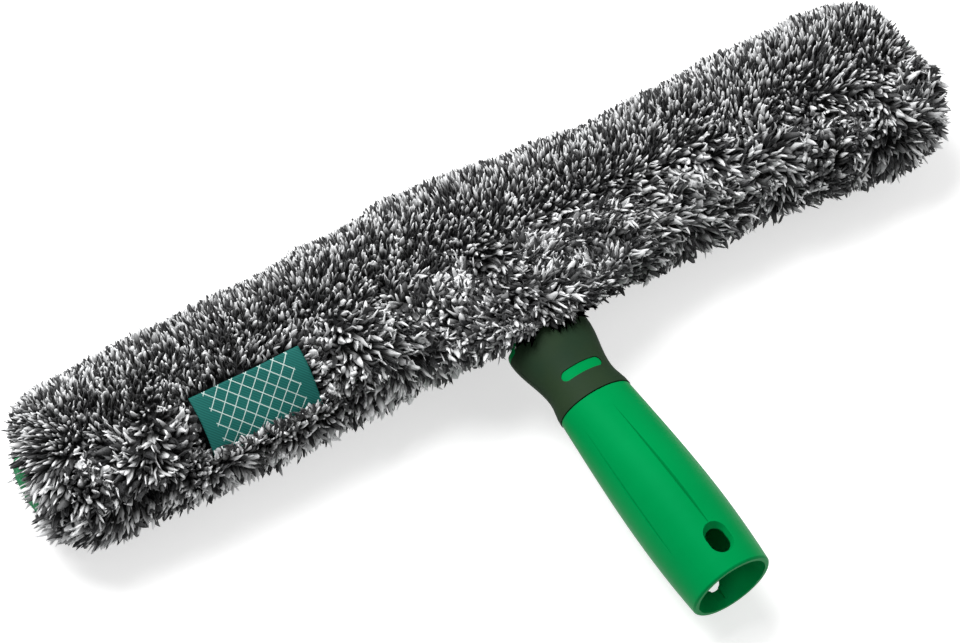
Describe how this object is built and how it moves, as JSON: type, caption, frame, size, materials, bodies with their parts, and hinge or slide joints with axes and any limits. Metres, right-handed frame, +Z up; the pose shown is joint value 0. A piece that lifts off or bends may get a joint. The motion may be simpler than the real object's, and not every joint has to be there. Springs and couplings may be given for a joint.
{
  "type": "window scrubber",
  "caption": "Window scrubber: a thick pile sleeve drawn over a T-bar that swivels in the forked neck of a short grooved grip with a pole socket.",
  "frame": {"origin": "centre of the pole socket's mouth, on the axis of the handle", "axes": "+Y from the socket's mouth to the head along the handle, +X along the bar to the right as seen from the front, +Z out of the front face; the tool lies on its back with +Z up"},
  "size_m": [0.3884, 0.1964, 0.0539],
  "materials": {
    "bright_green_plastic": "satin injection-moulded polypropylene, bright green",
    "dark_green_soft_shell": "soft-touch elastomer, dark olive green",
    "stainless_steel": "turned stainless steel",
    "white_acetal": "pressed acetal sheet",
    "grey_fleece": "needled absorbent fleece",
    "mixed_pile": "cut microfibre pile in black and white yarn",
    "green_scouring_pad": "non-woven abrasive pad, bright green",
    "woven_label": "woven teal-green tape with white thread",
    "closing_tape": "black hook and loop tape",
    "binding_tape": "black woven edge binding"
  },
  "bodies": {
    "handle": {"handle_grip": "bright_green_plastic", "neck_cover_front": "dark_green_soft_shell", "neck_cover_rear": "dark_green_soft_shell", "pivot_pin": "stainless_steel", "spring_washer": "stainless_steel", "lock_nut": "stainless_steel", "friction_washer_front": "white_acetal", "friction_washer_rear": "white_acetal"},
    "head": {"t_bar": "bright_green_plastic", "sleeve_lining": "grey_fleece", "sleeve_pile": "mixed_pile", "end_pad_left": "green_scouring_pad", "end_pad_right": "green_scouring_pad", "sewn_label": "woven_label", "loop_tape": "closing_tape", "hook_tape": "closing_tape", "opening_binding": "binding_tape"}
  },
  "joints": [
    {"name": "head_swivel", "type": "hinge", "parent": "handle", "child": "head", "pos_m": [0, 0.1144, 0], "axis": [0, 0, 1], "range_deg": [-45, 45]}
  ]
}
